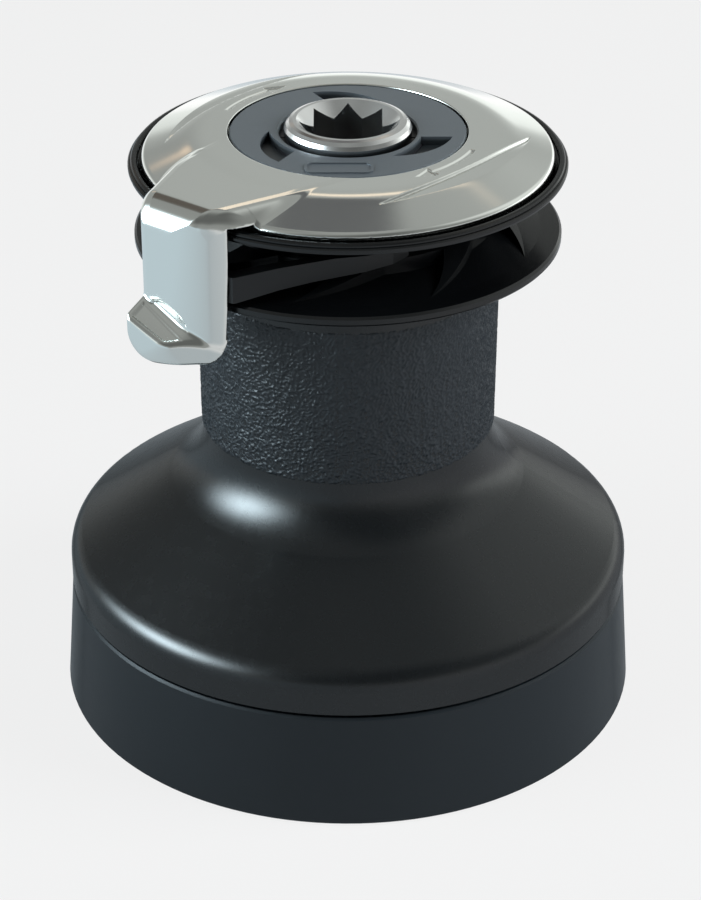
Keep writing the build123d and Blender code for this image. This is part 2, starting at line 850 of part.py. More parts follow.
low_pawl_shape = [
    (low_pivot_r + 1.7, 0.8),
    polar(13.85, 40.0),
    polar(12.2, 40.0),
    (low_pivot_r - 1.7, 0.8),
]
with BuildPart() as low_pawl_a:
    pawl(low_pawl_shape, low_pivot_r, low_heel_r, low_centre, low_pawl_at, 9.5, 15.5)

with BuildPart() as low_pawl_b:
    pawl(low_pawl_shape, low_pivot_r, low_heel_r, low_centre, low_pawl_at + 180, 9.5, 15.5)

with BuildPart() as low_pawl_springs:
    for angle in (low_pawl_at, low_pawl_at + 180):
        wire_spring(low_pivot_r, low_heel_r, low_centre, angle, 12.5)

# Top of the spindle: bush and the two half collets that hold it down
with BuildPart() as upper_bush:
    disc(stem_top_bore_r, 138.0, 153.3)
    disc(body_r + pin_play, 138.0, 153.3, mode=Mode.SUBTRACT)

with BuildPart() as spindle_collets:
    revolve(
        outline(
            [
                (spindle_groove_r + 0.1, 153.6),
                (stem_top_bore_r - 0.1, 153.6),
                (stem_top_bore_r - 0.1, tube_top_z),
                (19.0, tube_top_z),
                (19.0, 157.2),
                (spindle_groove_r + 0.1, 157.2),
            ]
        ),
        axis=Axis.Z,
    )
    with Locations((0.0, 0.0, 155.0)):
        Box(50.0, 0.6, 6.0, mode=Mode.SUBTRACT)

# Feeder: top plate, arm over the rim, leg and hooked foot in one casting
cap_seat_z = 156.3
plate_top_r = 35.5
arm_low_z, arm_top_z = 154.6, 159.0
leg_low_z = 118.8
bend_r = 4.3
leg_inner_r = 57.0
outer_left, outer_middle, outer_right = (-50.1, -41.9), (-38.9, -50.6), (-27.9, -50.6)
inner_right = polar(leg_inner_r, 241.4)
inner_left = polar(leg_inner_r, 212.0)
leg_outside = [outer_left, outer_middle, outer_right]
arm_foot = [(-38.0, -6.0), inner_left, *leg_outside, inner_right, (-7.0, -38.0), (-12.0, -12.0)]
arm_top = [(-34.0, -9.0), (-45.8, -36.3), *leg_outside, (-30.6, -47.6), (-10.0, -34.5), (-12.0, -12.0)]
tenon_at = 236.3
along = Vector(outer_middle[0] - outer_left[0], outer_middle[1] - outer_left[1], 0).normalized()
outward = Vector(along.Y, -along.X, 0)
face_start = along.dot(Vector(outer_left[0], outer_left[1], 0))


def foot_section(distance, corners):
    """Upright face across the leg at a distance along it, from out and up pairs."""
    origin = along * (face_start + distance)
    with BuildSketch(Plane(origin=origin, x_dir=outward, z_dir=along * -1)) as shape:
        with BuildLine():
            Polyline(*corners, close=True)
        make_face()
    return shape.sketch


foot_sections = [
    foot_section(0.2, [(62.6, 134.4), (69.8, 130.8), (69.8, 127.6), (66.4, 124.6), (62.6, 124.6)]),
    foot_section(5.7, [(62.6, 131.5), (69.1, 127.5), (69.1, 121.8), (67.6, 120.2), (62.6, 120.2)]),
    foot_section(14.2, [(62.6, 126.9), (68.0, 122.6), (68.0, 119.8), (67.2, 118.8), (62.6, 118.8)]),
    foot_section(18.0, [(59.9, 124.8), (61.6, 123.0), (61.6, 119.5), (61.2, 118.8), (59.9, 118.8)]),
]
with BuildPart() as feeder:
    with BuildSketch(Plane.XZ):
        with BuildLine():
            Polyline(
                (51.9, 154.7),
                (plate_r, 154.1),
                (plate_r, 152.8),
                (plate_r - 0.6, 152.5),
                (33.0, 154.8),
                (33.0, column_top_z),
                (20.0, column_top_z),
                (20.0, cap_top_z),
                (plate_top_r, cap_top_z),
            )
            ThreePointArc((plate_top_r, cap_top_z), (43.6, 157.6), (51.9, 154.7))
        make_face()
    revolve(axis=Axis.Z)
    loft([plan(arm_foot, arm_low_z), plan(arm_top, arm_top_z)], ruled=True)
    with BuildSketch(Plane.XY.offset(leg_low_z)):
        with BuildLine():
            Polyline(inner_left, *leg_outside, inner_right)
            ThreePointArc(inner_right, polar(leg_inner_r, 226.7), inner_left)
        make_face()
    extrude(amount=arm_low_z - leg_low_z)
    fillet(feeder.edges().sort_by_distance((*outer_middle, arm_top_z))[:2], bend_r)
    loft(foot_sections, ruled=True)
    revolve(
        outline(
            [
                (0.0, 140.0),
                (24.05, 140.0),
                (24.05, cap_seat_z),
                (26.0, cap_seat_z),
                (26.0, 155.3),
                (29.6, 155.3),
                (29.6, cap_seat_z),
                (cap_r + 0.4, cap_seat_z),
                (cap_r + 0.4, 170.0),
                (0.0, 170.0),
            ]
        ),
        axis=Axis.Z,
        mode=Mode.SUBTRACT,
    )
    with Locations(Pos(0, 0, column_top_z) * Rot(0, 0, feeder_at - 180) * Pos(24.5, 0, 0)):
        Box(
            3.2,
            key_width + 0.1,
            key_top_z - column_top_z + 0.2,
            align=(Align.CENTER, Align.CENTER, Align.MIN),
            mode=Mode.SUBTRACT,
        )
    with Locations(Pos(0, 0, 138.65) * Rot(0, 0, tenon_at) * Pos(leg_inner_r, 0, 0)):
        Box(3.2, 3.1, 5.1, mode=Mode.SUBTRACT)

# Stripper: tongue in the jaw gap, held by a tenon in the leg
stripper_plan = [
    polar(56.95, 240.9),
    (-9.0, -45.8),
    (4.0, -43.0),
    (11.0, -40.2),
    (14.8, -36.4),
    (14.2, -36.1),
    (10.2, -38.6),
    (3.0, -40.6),
    (-10.0, -43.0),
    polar(56.95, 234.1),
]
stripper_side = [
    (-45.0, 135.1),
    (-27.0, 135.1),
    (-16.4, 137.6),
    (-8.6, 138.9),
    (4.1, 140.3),
    (15.0, 141.6),
    (15.0, 144.2),
    (8.0, 144.5),
    (-3.0, 144.6),
    (-16.4, 143.4),
    (-27.0, 141.9),
    (-45.0, 141.9),
]
with BuildPart() as stripper:
    extrude(plan(stripper_plan, 130.0), amount=20.0)
    with BuildSketch(Plane.XZ):
        with BuildLine():
            Polyline(*stripper_side, close=True)
        make_face()
    extrude(amount=70.0, mode=Mode.INTERSECT)
    with Locations(Pos(0, 0, 138.65) * Rot(0, 0, tenon_at) * Pos(leg_inner_r, 0, 0)):
        Box(3.0, 3.0, 5.0)

with BuildPart() as cap_seal:
    disc(29.4, 155.4, cap_seat_z)
    disc(26.2, 155.4, cap_seat_z, mode=Mode.SUBTRACT)

# Cap: screws on the stem, holds the feeder and the collets
badge_r = 24.3
with BuildPart() as top_cap:
    revolve(
        outline(
            [
                (17.5, 157.35),
                (17.5, cap_top_z - 0.4),
                (17.9, cap_top_z),
                (cap_r - 0.4, cap_top_z),
                (cap_r, cap_top_z - 0.4),
                (cap_r, cap_seat_z),
                (23.5, cap_seat_z),
                (23.5, 152.7),
                (20.6, 152.7),
                (20.6, cap_seat_z),
                (19.3, cap_seat_z),
                (19.3, 157.35),
            ]
        ),
        axis=Axis.Z,
    )
    for angle in (0.0, 120.0, 240.0):
        wide_in, wide_out = polar(18.9, angle - 14.0), polar(26.6, angle - 9.8)
        point = polar(20.0, angle - 57.0)
        with BuildSketch(Plane.XY.offset(cap_top_z)):
            with BuildLine():
                Line(wide_in, wide_out)
                ThreePointArc(wide_out, polar(24.6, angle - 32.0), point)
                ThreePointArc(point, polar(19.1, angle - 35.0), wide_in)
            make_face()
        extrude(amount=-2.3, mode=Mode.SUBTRACT)
    with BuildSketch(Plane.XY.offset(cap_top_z)):
        with Locations((-2.2, -badge_r)):
            RectangleRounded(17.0, 6.6, 2.2)
            RectangleRounded(15.6, 5.2, 1.6, mode=Mode.SUBTRACT)
    extrude(amount=0.35)

sub_parts = {
    "base_housing": base_housing,
    "base_bush": base_bush,
    "centre_stem": centre_stem,
    "stem_screws": stem_screws,
    "idler_a_pin": idler_a_pin,
    "idler_b_pin": idler_b_pin,
    "low_pin": low_pin,
    "drum": drum,
    "ring_gear": ring_gear,
    "ring_gear_clip": ring_gear_clip,
    "thrust_washer": thrust_washer,
    "lower_bearing_cage": lower_bearing_cage,
    "lower_bearing_rollers": lower_bearing_rollers,
    "upper_bearing_cage": upper_bearing_cage,
    "upper_bearing_rollers": upper_bearing_rollers,
    "bearing_spacer": bearing_spacer,
    "bearing_clip": bearing_clip,
    "crown_hub": crown_hub,
    "lower_crown": lower_crown,
    "upper_crown": upper_crown,
    "crown_screws": crown_screws,
    "jaw_springs": jaw_springs,
    "drive_gear": drive_gear,
    "main_spindle": main_spindle,
    "drive_pawl_a": drive_pawl_a,
    "drive_pawl_b": drive_pawl_b,
    "drive_pawl_springs": drive_pawl_springs,
    "ratchet_gear": ratchet_gear,
    "idler_a_gear": idler_a_gear,
    "idler_b_gear": idler_b_gear,
    "low_gear": low_gear,
    "low_pinion": low_pinion,
    "low_carrier": low_carrier,
    "low_pawl_a": low_pawl_a,
    "low_pawl_b": low_pawl_b,
    "low_pawl_springs": low_pawl_springs,
    "upper_bush": upper_bush,
    "spindle_collets": spindle_collets,
    "feeder": feeder,
    "stripper": stripper,
    "cap_seal": cap_seal,
    "top_cap": top_cap,
}
for name, sub_part in sub_parts.items():
    sub_part.part.label = name
    export_step(sub_part.part, f"parts/{name}.step")
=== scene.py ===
# %% [markdown]
# # A self-tailing sailboat winch
# The CAD model gives every gear, pawl and bearing its true size. This script
# dresses it: it adds the two pieces that plain CAD faces show badly, gives
# each part a finish, lights the studio and places the camera.
# Lengths in the helpers are in millimetres, because that is how the maker
# would talk about them. Blender itself works in metres.

import json
from math import cos, hypot, pi, radians, sin

import bpy
import numpy as np
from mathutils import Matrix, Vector


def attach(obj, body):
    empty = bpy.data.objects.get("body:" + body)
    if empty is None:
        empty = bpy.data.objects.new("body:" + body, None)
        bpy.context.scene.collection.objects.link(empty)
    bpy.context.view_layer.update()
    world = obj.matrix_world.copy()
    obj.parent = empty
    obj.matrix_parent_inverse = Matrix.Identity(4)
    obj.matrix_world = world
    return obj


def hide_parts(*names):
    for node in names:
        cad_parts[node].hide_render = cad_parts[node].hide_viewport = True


MM = 0.001

# %% Load the frame
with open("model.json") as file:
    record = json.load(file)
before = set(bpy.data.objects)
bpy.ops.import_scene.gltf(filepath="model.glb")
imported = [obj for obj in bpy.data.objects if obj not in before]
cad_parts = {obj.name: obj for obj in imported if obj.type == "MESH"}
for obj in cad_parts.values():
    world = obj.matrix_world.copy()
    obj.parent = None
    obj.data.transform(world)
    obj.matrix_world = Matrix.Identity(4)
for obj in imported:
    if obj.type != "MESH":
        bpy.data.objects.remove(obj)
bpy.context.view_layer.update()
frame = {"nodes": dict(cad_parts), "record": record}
nodes = frame["nodes"]
scene = bpy.context.scene
for name in ("Cube", "Light", "Camera"):
    if name in bpy.data.objects and name not in nodes:
        bpy.data.objects.remove(bpy.data.objects[name])

# %% [markdown]
# ## Wrapping a skin around a rule
# A polished casting flows from one shape into the next. It could be built
# from a cage of faces under a subdivision modifier, but the rounds then
# wander as the cage is pulled about. Here a rule says how far any point is
# from the surface, below zero inside and above zero outside, so each round
# keeps the radius that it is given.
#
# To turn the rule into a mesh, a fine grid is laid over the space. The cells
# that the surface passes through get one point each, and neighbours are
# joined by four-sided faces.


# %% Grid helpers
def steps(count):
    """All whole-number triples below count on each axis."""
    return np.stack(np.meshgrid(*[np.arange(n) for n in count], indexing="ij"), -1).reshape(-1, 3)


def key_of(corner, size):
    """One whole number for each place on a grid."""
    return (corner[..., 0] * size[1] + corner[..., 1]) * size[2] + corner[..., 2]


corners = steps((2, 2, 2))

# %% [markdown]
# Most of the space is far from the surface. The rule is tried once in each
# block of cells first, and only the blocks near the surface are looked at
# more closely. The rule isn't an exact distance everywhere, so the test
# leaves some room.

# %% Cells near the surface
block = 4
block_reach = 2.0


def cells_near(rule, low, blocks, cell):
    """Cells in the blocks that lie close to the surface."""
    chosen = steps(blocks)
    middle = low + (chosen + 0.5) * cell * block
    chosen = chosen[np.abs(rule(middle)) < cell * block * block_reach]
    return (chosen[:, None] * block + steps((block,) * 3)).reshape(-1, 3)


def corner_values(rule, low, cells, cell, size):
    """The rule at the eight corners of each cell. A shared corner is worked out once."""
    keys, back = np.unique(key_of(cells[:, None] + corners, size), return_inverse=True)
    places = np.stack([keys // (size[1] * size[2]), keys // size[2] % size[1], keys % size[2]], 1)
    return rule(low + places * cell)[back.reshape(-1, 8)]


# %% [markdown]
# Each point starts at the mean of the places where the surface cuts the edges
# of its cell. Then it slides along the slope of the rule until it lies on the
# surface itself, which makes the skin smooth enough to mirror the studio.

# %% Points on the surface
slides = 3
least_slope = 0.05


def slope_of(rule, points, reach=0.02):
    """Direction in which the rule grows fastest."""
    parts = []
    for axis in np.eye(3) * reach:
        parts.append(rule(points + axis) - rule(points - axis))
    return np.stack(parts, 1) / (2 * reach)


def middle_of_cuts(values, inside):
    """Mean place of the cuts on the edges of each cell, as a share of the cell."""
    total, count = np.zeros((len(values), 3)), np.zeros((len(values), 1))
    for a in range(8):
        for b in range(a + 1, 8):
            if np.abs(corners[a] - corners[b]).sum() != 1:
                continue
            cut = inside[:, a] != inside[:, b]
            share = values[cut, a] / (values[cut, a] - values[cut, b])
            total[cut] += corners[a] + share[:, None] * (corners[b] - corners[a])
            count[cut] += 1
    return total / count


def slide_on(rule, points, cell):
    """Moves points onto the surface."""
    for _ in range(slides):
        slope = slope_of(rule, points)
        steepness = np.maximum((slope**2).sum(1), least_slope)[:, None]
        step = rule(points)[:, None] * slope / steepness
        points = points - np.clip(step, -cell / 2, cell / 2)
    return points


# %% [markdown]
# Four cells meet along each edge of the grid. Where the surface cuts that
# edge, their four points make one face, turned so that it looks outwards. A
# face is made only when all four cells are there: a wrong neighbour would
# stretch it right across the winch.


# %% Faces between the points
def faces_between(cells, inside, size):
    """Quads that join the points of neighbouring cells."""
    keys = key_of(cells, size)
    order = np.argsort(keys)
    sorted_keys = keys[order]
    quads = []
    for axis, one, two in ((0, 1, 2), (1, 2, 0), (2, 0, 1)):
        edge = inside[:, 0] != inside[:, 4 >> axis]
        near, start_inside = cells[edge], inside[edge, 0]
        shift_one, shift_two = np.eye(3, dtype=int)[one], np.eye(3, dtype=int)[two]
        ring, whole = [], np.ones(len(near), dtype=bool)
        for offset in (0 * shift_one, shift_one, shift_one + shift_two, shift_two):
            wanted = key_of(near - offset, size)
            spot = np.minimum(np.searchsorted(sorted_keys, wanted), len(sorted_keys) - 1)
            whole &= sorted_keys[spot] == wanted
            ring.append(order[spot])
        outwards, inwards = np.stack(ring, 1), np.stack(ring[::-1], 1)
        quads.append(np.where(start_inside[:, None], outwards, inwards)[whole])
    return np.concatenate(quads)


# %% Skin around a rule
def wrap(rule, low, high, cell):
    """Points and quads of the surface where the rule is zero."""
    low, high = np.array(low, float), np.array(high, float)
    blocks = np.ceil((high - low) / (cell * block)).astype(int)
    size = blocks * block + 1
    cells = cells_near(rule, low, blocks, cell)
    values = corner_values(rule, low, cells, cell, size)
    inside = values < 0
    crossed = inside.any(1) & ~inside.all(1)
    cells, values, inside = cells[crossed], values[crossed], inside[crossed]
    points = low + (cells + middle_of_cuts(values, inside)) * cell
    return slide_on(rule, points, cell), faces_between(cells, inside, size)


# %% [markdown]
# Shading a curved mirror from the faces alone leaves faint facets. The slope
# of the rule is the true normal, so it is stored on the mesh as well.


# %% Blender object from a rule
def mesh_piece(name, points, quads):
    """Smooth Blender object from points in millimetres and four-sided faces."""
    mesh = bpy.data.meshes.new(name)
    mesh.from_pydata((points * MM).tolist(), [], quads.tolist())
    mesh.polygons.foreach_set("use_smooth", [True] * len(mesh.polygons))
    piece = bpy.data.objects.new(name, mesh)
    scene.collection.objects.link(piece)
    print(name, len(points), "points")
    return piece


def skin(name, rule, low, high, cell):
    """Blender object wrapped around a rule, with normals taken from the rule."""
    points, quads = wrap(rule, low, high, cell)
    piece = mesh_piece(name, points, quads)
    piece.data.validate()
    slope = slope_of(rule, points, cell * 0.35)
    normals = slope / np.linalg.norm(slope, axis=1)[:, None]
    piece.data.normals_split_custom_set_from_vertices(normals.tolist())
    return piece


# %% [markdown]
# ## Joining shapes in a rule
# Two rules are joined by taking the smaller one and cut by taking the larger
# one. The soft versions round the edge where they meet, as a file or a
# casting mould would.


# %% Joining helpers
def soft_min(a, b, width):
    """Join, with a fillet in the corner."""
    h = np.clip(0.5 + 0.5 * (b - a) / width, 0, 1)
    return b + (a - b) * h - width * h * (1 - h)


def soft_max(a, b, width):
    """Overlap, with a gentle edge."""
    return -soft_min(-a, -b, width)


def round_max(a, b, radius):
    """Overlap, with a true round edge."""
    past_both = np.hypot(np.maximum(a + radius, 0), np.maximum(b + radius, 0))
    return np.minimum(np.maximum(a, b), -radius) + past_both


def beside(x, y, start, end):
    """Distance to the right of a line in plan, from start to end."""
    length = hypot(end[0] - start[0], end[1] - start[1])
    return ((x - start[0]) * (end[1] - start[1]) - (y - start[1]) * (end[0] - start[0])) / length


def fade(value, low, high):
    """Smooth step from 0 to 1."""
    t = np.clip((value - low) / (high - low), 0, 1)
    return t * t * (3 - 2 * t)


# %% [markdown]
# ## The feeder casting
# The polished top is one piece: a shallow cone, an arm that rises out of it
# level with the cap, a bend over the rim and a leg with a hooked foot. It
# stands still while the drum turns under it and leads the rope into the jaws.
# First come the lines in plan, which match those of the CAD feeder: the sides
# of the arm, the flat face of the leg and the creases where the arm ends.

# %% Feeder plan
rim_r, rim_z = 52.4, 152.8
seat_r, seat_z, bore_r = 30.4, 156.3, 24.05
left_creases = (((-34.2, -12.1), (-39.3, -18.3)), ((-41.0, -22.2), (-45.9, -36.6)))
right_crease = ((-31.2, -47.5), (-10.6, -35.5))
leg_left, leg_right = (-50.1, -41.9), (-38.9, -50.6)
leg_inner_left, leg_inner_right = (-46.0, -20.0), (-27.9, -50.6)
arm_right_start = (-6.9, -38.5)
leg_low_z, leg_inner_r = 118.8, 57.0

# %% [markdown]
# The leg, its foot and its scoop are easiest to describe from its own flat
# face: a distance along the face and a distance out from the winch's axis.

# %% Face of the leg
face_length = hypot(leg_right[0] - leg_left[0], leg_right[1] - leg_left[1])
along = ((leg_right[0] - leg_left[0]) / face_length, (leg_right[1] - leg_left[1]) / face_length)
outward = (along[1], -along[0])
face_d = outward[0] * leg_left[0] + outward[1] * leg_left[1]
print("leg face", round(face_d, 2), "mm from the axis")

# %% [markdown]
# ## Relief on the cone
# A shallow crescent is pressed into each side of the cone, steep on its inner
# edge and fading out towards the rim. An arrow beside it shows which way the
# drum turns. Both are repeated half a turn away. A picture on the surface
# wouldn't bend the reflections, so they are cut into the shape itself.

# %% Crescent
relief_at = 322
crescent_start, crescent_end = (7.3, -42.4), (46.3, 1.9)
crescent_bow, crescent_width, crescent_depth = 3.56, 4.8, 0.75
crescent_tip = 0.12


def crescent(x, y):
    """Depth of the front crescent."""
    chord = (crescent_end[0] - crescent_start[0], crescent_end[1] - crescent_start[1])
    along_chord = (x - crescent_start[0]) * chord[0] + (y - crescent_start[1]) * chord[1]
    share = along_chord / (chord[0] ** 2 + chord[1] ** 2)
    bow = np.maximum(1 - (2 * share - 1) ** 2, 0)
    past = beside(x, y, crescent_start, crescent_end) - crescent_bow * bow
    width = crescent_width * bow + 0.01
    depth = crescent_depth * fade(past, -0.25, 0.35) * np.clip(1 - past / width, 0, 1)
    return depth * fade(bow, 0.0, crescent_tip)


# %% Arrow
arrow_r, arrow_middle, arrow_depth = 33.6, 322.5, 0.45
arrow_mm_per_degree = 0.586
shaft_half_width, shaft_half_length = 0.55, 8.5
tip_angle, head_end_angle, head_spread = 299.5, 308.0, 0.24


def arrow(x, y):
    """Depth of the front arrow, which follows a circle round the axis."""
    r, turn = np.hypot(x, y), np.degrees(np.arctan2(y, x)) % 360
    off_line = np.abs(r - arrow_r)
    past_end = np.abs(turn - arrow_middle) * arrow_mm_per_degree - shaft_half_length
    shaft = np.maximum(off_line - shaft_half_width, past_end)
    past_head = (turn - head_end_angle) * arrow_mm_per_degree
    head = np.maximum(off_line - head_spread * (turn - tip_angle), past_head)
    return arrow_depth * fade(-np.minimum(shaft, head), -0.25, 0.3)


# %% Relief on both sides
def relief(x, y):
    """Depth of the crescents and arrows, positive into the metal."""
    ahead = x * cos(radians(relief_at)) + y * sin(radians(relief_at))
    side = np.where(ahead < 0, -1.0, 1.0)
    x, y = x * side, y * side
    return np.maximum(crescent(x, y), arrow(x, y))


# %% [markdown]
# ## The top of the feeder
# The cone and the arm are described as one height over the plan. The cone is
# nearly level by the cap and then turns down in a smooth bend. The arm stays
# level up to its creases and falls away past them. The higher of the two
# wins, and the valley between them gets wider away from the crease, so the
# side of the arm sweeps down into the cone.

# %% Cone
cone_top_z, cone_dish = 159.6, 0.05
cone_bend_r, cone_bend_width, cone_bend_drop = 35.0, 9.0, 2.88
cone_low_r, cone_slope = 44.0, 0.32


def cone_height(x, y, r):
    """Height of the cone with its relief."""
    t = np.clip((r - cone_bend_r) / cone_bend_width, 0, 1)
    level = cone_top_z - cone_dish * (r - seat_r)
    bent = level - cone_bend_drop * (t**3 - t**4 / 2) - cone_slope * np.maximum(r - cone_low_r, 0)
    return bent - relief(x, y)


# %% Top of the arm
arm_z, arm_start = 159.35, 20.0
arm_level_r, arm_fall = 36.0, 0.012
side_fall, side_curl, side_curl_from = 0.22, 0.3, 1.2
crease_turn, crease_join = 1.5, 0.6
valley_r, valley_length = 37.0, 8.0
valley_width, valley_growth = 0.9, 2.6


def feeder_height(x, y):
    """Height of the polished top over the plan."""
    r = np.hypot(x, y)
    cone = cone_height(x, y, r)
    left = soft_max(beside(x, y, *left_creases[0]), beside(x, y, *left_creases[1]), crease_turn)
    outside = soft_max(left, beside(x, y, *right_crease), crease_join)
    past = np.maximum(outside, 0)
    arm = arm_z - arm_fall * np.maximum(r - arm_level_r, 0) - side_fall * past
    arm = arm - side_curl * np.maximum(past - side_curl_from, 0) ** 2
    arm = arm - np.maximum(arm_start - (x * outward[0] + y * outward[1]), 0)
    valley = fade(np.minimum(outside, r - valley_r), 0.0, valley_length)
    return soft_max(cone, arm, valley_width + valley_growth * valley)


# %% [markdown]
# ## The hooked foot
# The foot is a ledge that juts out of the leg to catch the rope. Its top
# slopes outwards and along, with a sunk panel in it, and a thumbnail scoop
# above it eases the rope in. In these helpers u is the distance along the
# leg's face and n the distance from the axis.

# %% Ledge
ledge_z, ledge_fall_along, ledge_fall_out, ledge_twist = 133.9, 0.54, 0.49, 0.024
ledge_bend_from, ledge_bend, ledge_scale = 12.0, 0.06, 0.75
ledge_front, ledge_front_lean, ledge_end_lean = 6.5, 0.165, 0.05
slant_way, slant_u, slant_out = (0.68, 0.733), 17.8, -2.1
wall_round, wall_round_growth, wall_round_over = 1.0, 4.0, 8.0
ledge_low_round, ledge_side_round, ledge_edge_round = 8.0, 1.6, 0.9


def ledge(u, out, z):
    """The ledge as a solid block, with its top and its three sides."""
    bend = np.maximum(u - ledge_bend_from, 0)
    rise = z - ledge_z + ledge_fall_along * u + ledge_fall_out * out
    top = (rise + ledge_twist * u * out + ledge_bend * bend**2) * ledge_scale
    front = out - ledge_front + ledge_front_lean * u
    slant = slant_way[0] * (u - slant_u) + slant_way[1] * (out - slant_out)
    end = -u - ledge_end_lean * out
    wall = round_max(front, slant, wall_round + wall_round_growth * fade(-top, 0.0, wall_round_over))
    low_end = round_max(end, leg_low_z - z, ledge_low_round)
    solid = round_max(top, round_max(wall, low_end, ledge_side_round), ledge_edge_round)
    return top, front, slant, end, solid


# %% Panel in the ledge
panel_depth, panel_edge_round, panel_rim_round = 0.3, 0.5, 0.3
panel_front, panel_slant, panel_end, panel_back = 1.0, 0.9, 1.4, 1.0


def foot(u, n, z):
    """The ledge with a sunk panel a little way in from its edges."""
    out = n - face_d
    top, front, slant, end, solid = ledge(u, out, z)
    across = np.maximum(front + panel_front, slant + panel_slant)
    panel = np.maximum(across, np.maximum(end + panel_end, panel_back - out))
    sunk = round_max(panel, -(top + panel_depth), panel_edge_round)
    return round_max(solid, -sunk, panel_rim_round)


# %% Scoop above the ledge
scoop_u, scoop_z, scoop_r = 6.2, 125.8, 7.5
scoop_depth, scoop_lean, scoop_top_z, scoop_round = 0.45, 0.05, 134.5, 0.25


def scoop(u, n, z):
    """Thumbnail cut in the leg above the ledge."""
    ring = np.hypot(u - scoop_u, z - scoop_z) - scoop_r
    floor = face_d - scoop_depth - scoop_lean * (scoop_top_z - z) - n
    return round_max(ring, floor, scoop_round)


# %% [markdown]
# ## The arm and its bend
# Seen from above, the arm is a strip whose corners are rounded by different
# amounts. The bend over the rim is wide towards the face of the leg and
# narrow on the right. Measuring each side in shares of its own bend radius
# lets one round run from the wide bend into the narrow one.

# %% Outline of the arm
elbow_round, arm_left_round, arm_right_round = 3.0, 1.8, 3.8


def arm_sides(x, y, ahead):
    """Outline of the arm in plan, with its right side."""
    face = ahead - face_d
    left = -beside(x, y, leg_left, leg_inner_left)
    side = beside(x, y, leg_right, leg_inner_right)
    right = round_max(side, beside(x, y, leg_inner_right, arm_right_start), elbow_round)
    strip = round_max(round_max(face, left, arm_left_round), right, arm_right_round)
    return face, side, np.maximum(strip, arm_start - ahead)


# %% Bend over the rim
bend_r, bend_right_r = 7.0, 3.1
bend_corner, bend_blend = 0.4, 0.3


def bend_over(face, side, top):
    """The bend, as a round in shares of its radius, turned back into millimetres."""
    face_share, side_share = face / bend_r, side / bend_right_r
    share = round_max(round_max(face_share, side_share, bend_corner), top / bend_r, 1.0)
    to_side = fade(side_share - face_share, -bend_blend, bend_blend)
    return share * (bend_r + (bend_right_r - bend_r) * to_side)


# %% [markdown]
# ## The leg
# The leg hangs down outside the crowns, so its inner face follows a circle a
# little wider than the upper crown. It narrows towards the foot. The corner
# under the arm has a fillet, which fades out near the outer faces: there the
# arm and the leg share one surface, and a soft join would swell it.

# %% Leg
leg_top_z, leg_taper, leg_taper_z = 156.5, 0.057, 152.0
leg_low_round, leg_edge_round = 6.5, 1.0
arm_under_z, plate_under_z, plate_under_r, plate_under_slope = 154.6, 154.8, 33.0, 0.1134
fillet, fillet_from, fillet_full = 1.6, 0.3, 2.5


def leg_limits(x, r, z):
    """Inner face and low end of the leg."""
    end = x - leg_inner_right[0] - leg_taper * (z - leg_taper_z)
    return np.maximum(round_max(end, leg_low_z - z, leg_low_round), leg_inner_r - r)


def join_leg(body, arm, bend, limits, r, z):
    """Cuts the underside of the plate and arm, then joins the leg to them."""
    leg = np.maximum(np.maximum(round_max(limits, arm, leg_edge_round), bend), z - leg_top_z)
    plate_under = plate_under_z - (r - plate_under_r) * plate_under_slope
    arm_part = np.maximum(body, np.where(r < rim_r, plate_under, arm_under_z) - z)
    hollow = fade(-np.maximum(arm, bend), fillet_from, fillet_full)
    joined = np.minimum(arm_part, leg)
    return joined + hollow * (soft_min(arm_part, leg, fillet) - joined)


# %% [markdown]
# ## The whole feeder
# The pieces of the rule come together in the order in which a founder would
# think of them: plate and arm, leg, scoop, foot, then the machined hub, the
# seat for the cap and the bore.

# %% Feeder rule
top_scale = 0.9
arm_top_round, plate_edge_round, plate_top_round = 0.5, 0.3, 1.0
scoop_edge_round, foot_fillet, seat_round = 0.45, 0.9, 0.35
hub_r, hub_low_z, hub_high_z = 33.0, 149.2, 158.0


def feeder_rule(p):
    """Distance of points from the surface of the feeder."""
    x, y, z = p[:, 0], p[:, 1], p[:, 2]
    r = np.hypot(x, y)
    u = (x - leg_left[0]) * along[0] + (y - leg_left[1]) * along[1]
    ahead = x * outward[0] + y * outward[1]
    top = (z - feeder_height(x, y)) * top_scale
    face, side, arm = arm_sides(x, y, ahead)
    bend = bend_over(face, side, top)
    plate = round_max(r - rim_r, rim_z - z, plate_edge_round)
    raised = np.maximum(round_max(top, arm, arm_top_round), bend)
    body = np.minimum(raised, round_max(top, plate, plate_top_round))
    limits = leg_limits(x, r, z)
    body = join_leg(body, arm, bend, limits, r, z)
    body = round_max(body, -scoop(u, ahead, z), scoop_edge_round)
    body = soft_min(body, np.maximum(foot(u, ahead, z), limits), foot_fillet)
    hub = np.maximum(r - hub_r, np.maximum(hub_low_z - z, z - hub_high_z))
    seat = np.maximum(r - seat_r, seat_z - z)
    return np.maximum(round_max(np.minimum(body, hub), -seat, seat_round), bore_r - r)


# %% Make the feeder
feeder_cell = 0.32
feeder = skin("feeder_casting", feeder_rule, (-60, -60, 115), (56, 56, 162), feeder_cell)
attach(feeder, "base")
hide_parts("feeder")

# %% [markdown]
# ## The grip on the drum
# The neck of a real drum is peened or knurled into short random ridges, so
# that the rope bites. A bump map would leave its outline smooth, so the
# ridges are real. Random noise is kept only where its waves are about as
# long as a ridge is wide. The ridges stand where that noise crosses zero,
# which gives short bent worms instead of round dots.

# %% Ridge pattern
wave_band, ridge_share = 0.35, 0.55


